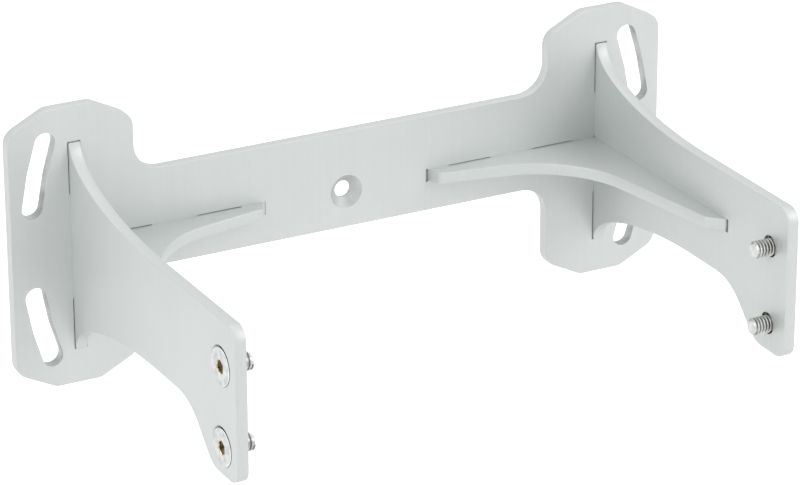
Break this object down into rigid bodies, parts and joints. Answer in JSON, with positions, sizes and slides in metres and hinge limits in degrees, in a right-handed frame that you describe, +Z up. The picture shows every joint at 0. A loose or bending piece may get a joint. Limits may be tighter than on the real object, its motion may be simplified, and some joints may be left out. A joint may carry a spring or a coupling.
{
  "type": "wall yoke bracket",
  "caption": "Flat sheet-metal wall bracket: back plate with arc fixing slots and pivot hole, gusset-braced side arms with dropped pads, and countersunk clamp screws.",
  "frame": {"origin": "centre of the pivot hole on the wall face of the back plate", "axes": "+X to the right along the bar, +Y into the wall, +Z up; the arms reach towards -Y"},
  "size_m": [0.242, 0.126, 0.0968],
  "materials": {
    "sheet": "satin, fine blasted and clear anodised",
    "weld": "as laid, dressed flush on the wall side",
    "screw": "plain stainless"
  },
  "bodies": {
    "bracket": {"back_plate": "sheet", "left_arm": "sheet", "left_gusset": "sheet", "right_arm": "sheet", "right_gusset": "sheet", "left_arm_upper_plug_weld": "weld", "left_arm_lower_plug_weld": "weld", "left_gusset_inner_plug_weld": "weld", "left_gusset_outer_plug_weld": "weld", "left_gusset_rear_fillet_weld": "weld", "left_gusset_front_fillet_weld": "weld", "right_arm_upper_plug_weld": "weld", "right_arm_lower_plug_weld": "weld", "right_gusset_inner_plug_weld": "weld", "right_gusset_outer_plug_weld": "weld", "right_gusset_rear_fillet_weld": "weld", "right_gusset_front_fillet_weld": "weld"},
    "left_upper_screw": {"left_upper_screw": "screw"},
    "left_lower_screw": {"left_lower_screw": "screw"},
    "right_upper_screw": {"right_upper_screw": "screw"},
    "right_lower_screw": {"right_lower_screw": "screw"}
  },
  "joints": [
    {"name": "left_upper_screw_slide", "type": "slide", "parent": "bracket", "child": "left_upper_screw", "axis": [-1, 0, 0], "range_m": [0, 0.016]},
    {"name": "left_lower_screw_slide", "type": "slide", "parent": "bracket", "child": "left_lower_screw", "axis": [-1, 0, 0], "range_m": [0, 0.016]},
    {"name": "right_upper_screw_slide", "type": "slide", "parent": "bracket", "child": "right_upper_screw", "axis": [1, 0, 0], "range_m": [0, 0.016]},
    {"name": "right_lower_screw_slide", "type": "slide", "parent": "bracket", "child": "right_lower_screw", "axis": [1, 0, 0], "range_m": [0, 0.016]}
  ]
}
